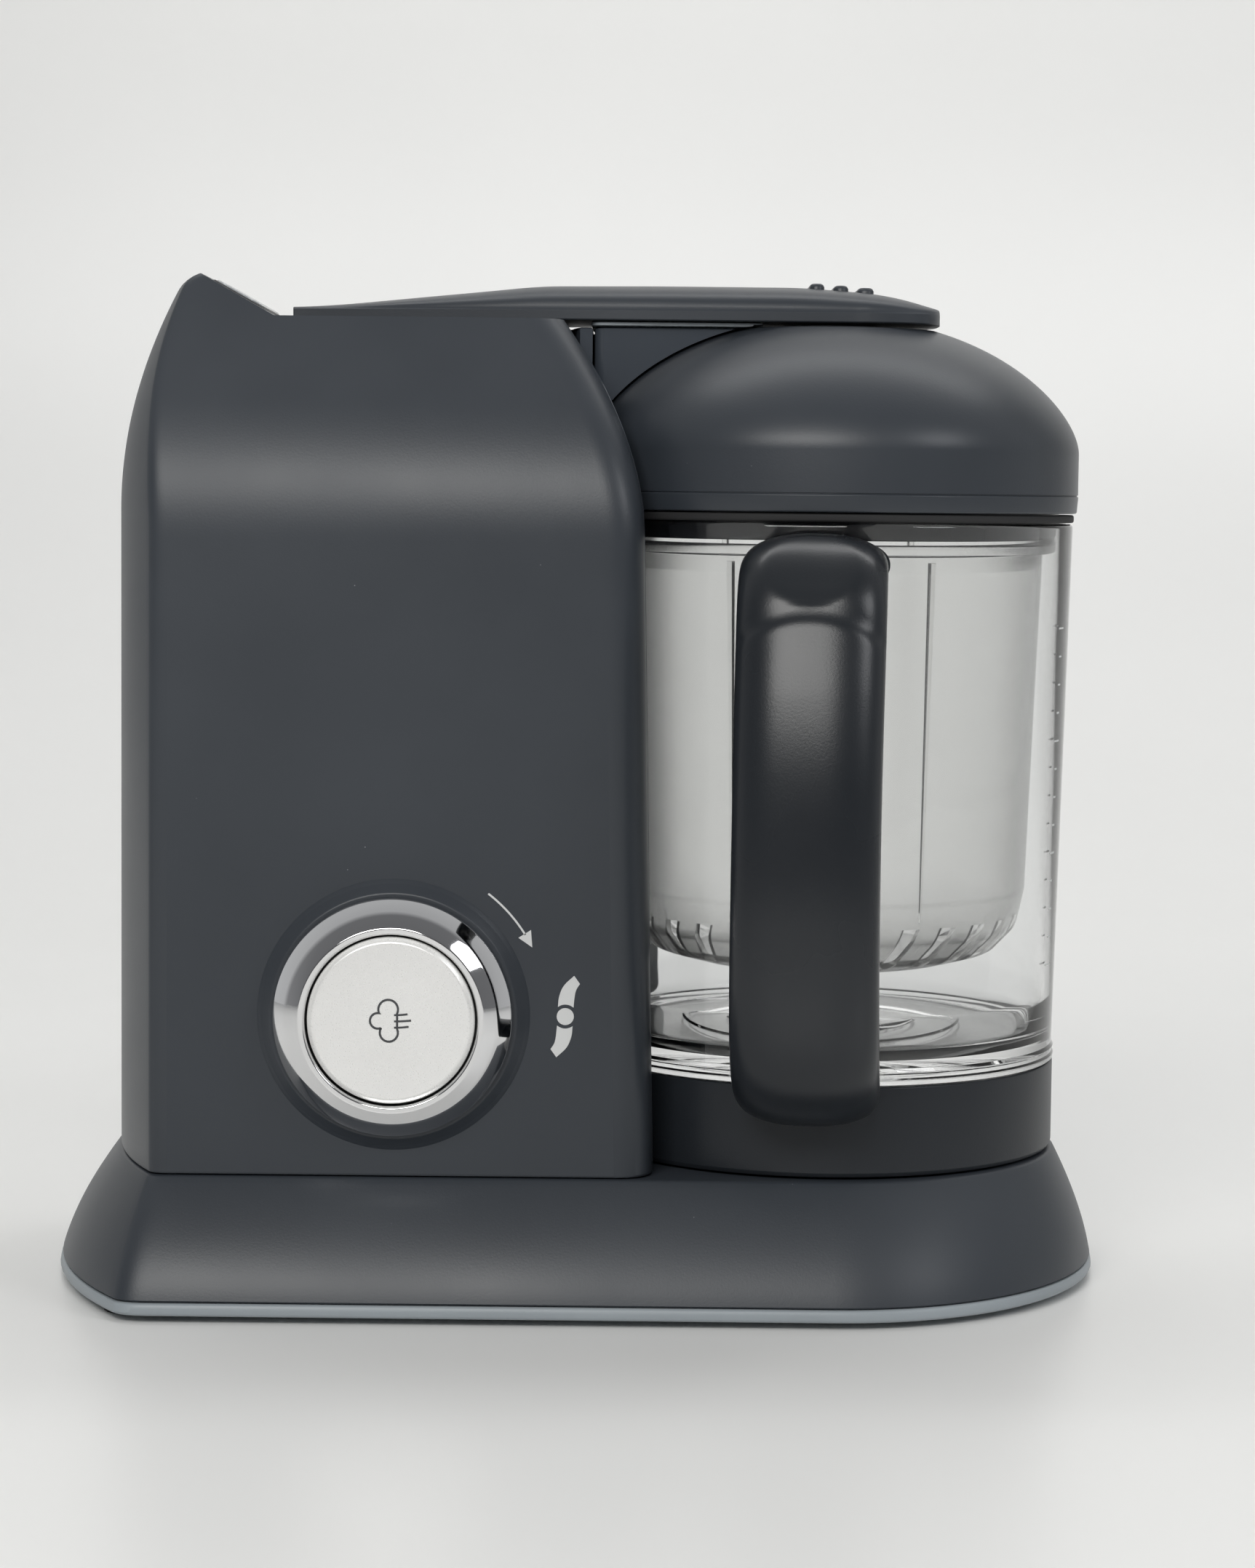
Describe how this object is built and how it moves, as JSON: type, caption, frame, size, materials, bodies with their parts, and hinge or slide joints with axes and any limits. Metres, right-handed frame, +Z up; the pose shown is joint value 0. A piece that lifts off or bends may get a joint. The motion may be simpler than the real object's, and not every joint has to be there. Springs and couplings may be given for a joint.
{
  "type": "baby food maker",
  "caption": "Countertop baby food steamer and blender: housing with knob and boiler, clear jar with handle and basket, domed lid, hinged top arm.",
  "frame": {"origin": "on the worktop, under the middle of the overall outline", "axes": "+Z up; the knob and the handle face -Y; the jar is at +X"},
  "size_m": [0.2817, 0.1946, 0.2673],
  "materials": {
    "charcoal": "fine satin texture",
    "satin_charcoal": "semi-gloss",
    "light_grey": "satin",
    "clear": "polished",
    "frosted": "frosted",
    "chrome": "polished",
    "silver": "satin",
    "steel": "satin",
    "aluminium": "cast",
    "black_plastic": "matte",
    "rubber": "matte",
    "silicone": "matte",
    "copper": "varnished wire",
    "board_green": "satin"
  },
  "bodies": {
    "housing": {"base_shell": "charcoal", "bottom_tray": "light_grey", "drive_belt": "rubber", "foot_front_left": "rubber", "foot_rear_left": "rubber", "foot_front_right": "rubber", "foot_rear_right": "rubber", "tray_screw_1": "steel", "tray_screw_2": "steel", "tray_screw_3": "steel", "tray_screw_4": "steel", "drive_bush": "black_plastic", "dock_ring": "satin_charcoal", "body_shell": "charcoal", "recess_panel": "satin_charcoal", "hinge_cradle": "black_plastic", "control_board": "board_green", "switch_block": "black_plastic", "boiler_tank": "steel", "filler_collar": "silicone", "heating_plate": "aluminium", "heating_element": "steel", "thermostat": "black_plastic", "motor_mount": "black_plastic", "motor_case": "steel", "cord_gland": "black_plastic", "hinge_pin": "steel"},
    "knob": {"knob_ring": "chrome", "knob_carrier": "black_plastic"},
    "button": {"button_disc": "silver", "button_stem": "black_plastic"},
    "rotor": {"motor_shaft": "copper", "motor_fan": "black_plastic", "small_pulley": "aluminium"},
    "drive": {"drive_shaft": "steel", "drive_coupling": "black_plastic", "large_pulley": "black_plastic"},
    "jar": {"bowl": "clear", "jar_collar": "charcoal", "jar_bush": "black_plastic", "cooking_basket": "frosted", "jar_handle": "charcoal"},
    "cutter": {"driven_coupling": "black_plastic", "blade_shaft": "steel", "blade_hub": "black_plastic", "blade": "steel", "blade_nut": "black_plastic"},
    "lid": {"lid_dome": "charcoal", "lid_skirt": "black_plastic", "lid_gasket": "rubber"},
    "arm": {"arm_cover": "charcoal", "arm_plate": "black_plastic", "arm_knuckle": "black_plastic", "steam_duct": "satin_charcoal", "duct_rim": "light_grey", "filler_plug": "silicone", "lid_seal": "silicone"}
  },
  "joints": [
    {"name": "arm_hinge", "type": "hinge", "parent": "housing", "child": "arm", "pos_m": [-0.0755, 0.0125, 0.2525], "axis": [0, -1, 0], "range_deg": [0, 85]},
    {"name": "jar_twist", "type": "hinge", "parent": "housing", "child": "jar", "pos_m": [0.066, 0.0125, 0.06], "axis": [0, 0, 1], "range_deg": [0, 40]},
    {"name": "lid_twist", "type": "hinge", "parent": "jar", "child": "lid", "pos_m": [0.066, 0.0125, 0.22], "axis": [0, 0, 1], "range_deg": [0, 30]},
    {"name": "knob_turn", "type": "hinge", "parent": "housing", "child": "knob", "pos_m": [-0.0469, -0.0525, 0.0767], "axis": [0, 1, 0], "range_deg": [0, 35], "stiffness_Nm_per_rad": 0.05},
    {"name": "button_press", "type": "slide", "parent": "knob", "child": "button", "axis": [0, 1, 0], "range_m": [0, 0.002], "stiffness_N_per_m": 800},
    {"name": "rotor_spin", "type": "hinge", "parent": "housing", "child": "rotor", "pos_m": [-0.06, 0.0125, 0.09], "axis": [0, 0, 1], "continuous": true},
    {"name": "drive_spin", "type": "hinge", "parent": "housing", "child": "drive", "pos_m": [0.066, 0.0125, 0.03], "axis": [0, 0, 1], "continuous": true},
    {"name": "blade_spin", "type": "hinge", "parent": "housing", "child": "cutter", "pos_m": [0.066, 0.0125, 0.07], "axis": [0, 0, 1], "continuous": true}
  ],
  "couplings": [
    {"joint": "drive_spin", "follows": "rotor_spin", "ratio": 0.28125},
    {"joint": "blade_spin", "follows": "rotor_spin", "ratio": 0.28125}
  ]
}
